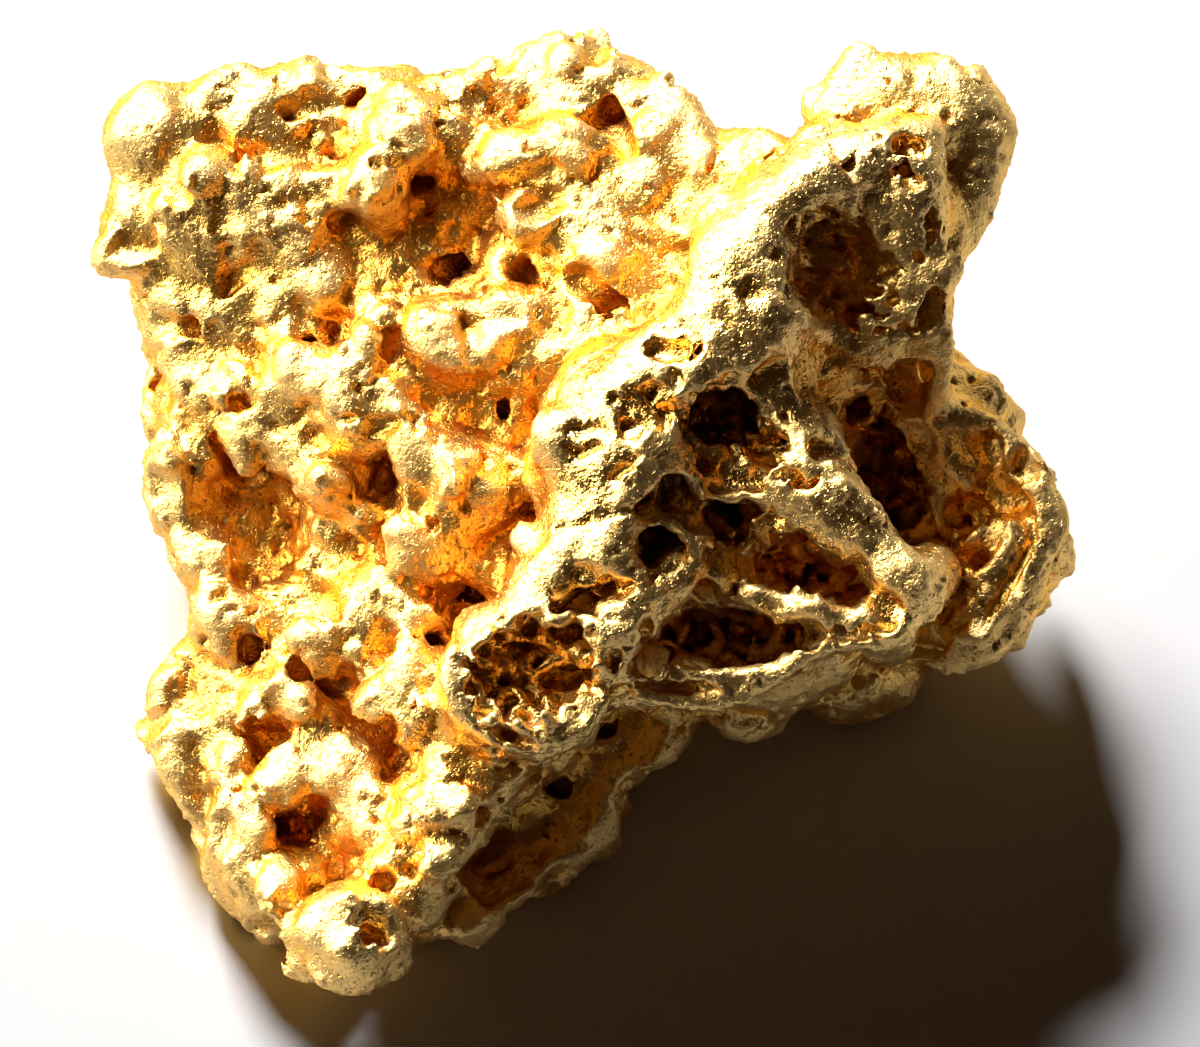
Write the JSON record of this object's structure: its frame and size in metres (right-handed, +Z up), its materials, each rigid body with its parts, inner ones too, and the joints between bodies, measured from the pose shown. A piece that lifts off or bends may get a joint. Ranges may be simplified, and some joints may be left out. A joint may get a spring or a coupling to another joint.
{
  "type": "gold nugget",
  "caption": "Natural gold nugget, a water-worn lump with a pitted crest, a thin-rimmed arm over hollows and a broad knobbly slope; it rests on its underside.",
  "frame": {"origin": "middle of the footprint, on the surface that the nugget lies on", "axes": "+Z up from that surface; +Y away from the viewer of the picture, +X to that viewer's right"},
  "size_m": [0.0164, 0.016, 0.0082],
  "materials": {
    "gold": "native gold, bright on worn edges, hammered and grainy all over, darker orange in the hollows"
  },
  "bodies": {
    "root": {"nugget": "gold"}
  },
  "joints": []
}
